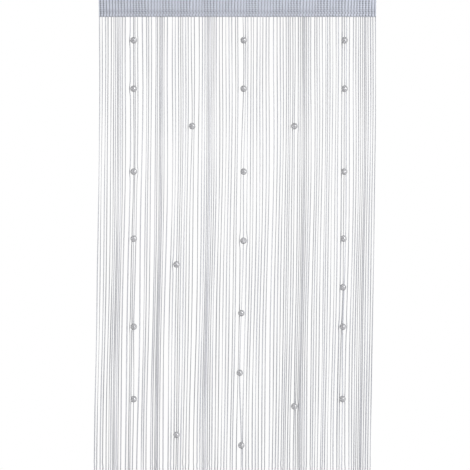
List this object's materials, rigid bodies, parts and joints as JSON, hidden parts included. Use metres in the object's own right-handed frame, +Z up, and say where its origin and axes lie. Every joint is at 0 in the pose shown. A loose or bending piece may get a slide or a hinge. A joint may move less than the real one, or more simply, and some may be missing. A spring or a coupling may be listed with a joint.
{
  "type": "bead curtain",
  "caption": "Door curtain of thin hanging strings, some with round beads threaded on them, under a knitted heading with a rod pocket.",
  "frame": {"origin": "middle of the heading's top edge, over the rod pocket, where a rod holds the curtain up", "axes": "+Z up, -Y out of the front, +X to the right seen from the front"},
  "size_m": [0.9164, 0.0234, 2],
  "materials": {
    "heading_knit": "lilac-grey knitted polyester mesh, matt with a slight sheen",
    "string_yarn": "pale cool-grey polyester string, slight sheen",
    "bead_acrylic": "polished clear acrylic with a smoke-grey tint"
  },
  "bodies": {
    "root": {"heading": "heading_knit", "strings": "string_yarn"}
  },
  "joints": []
}
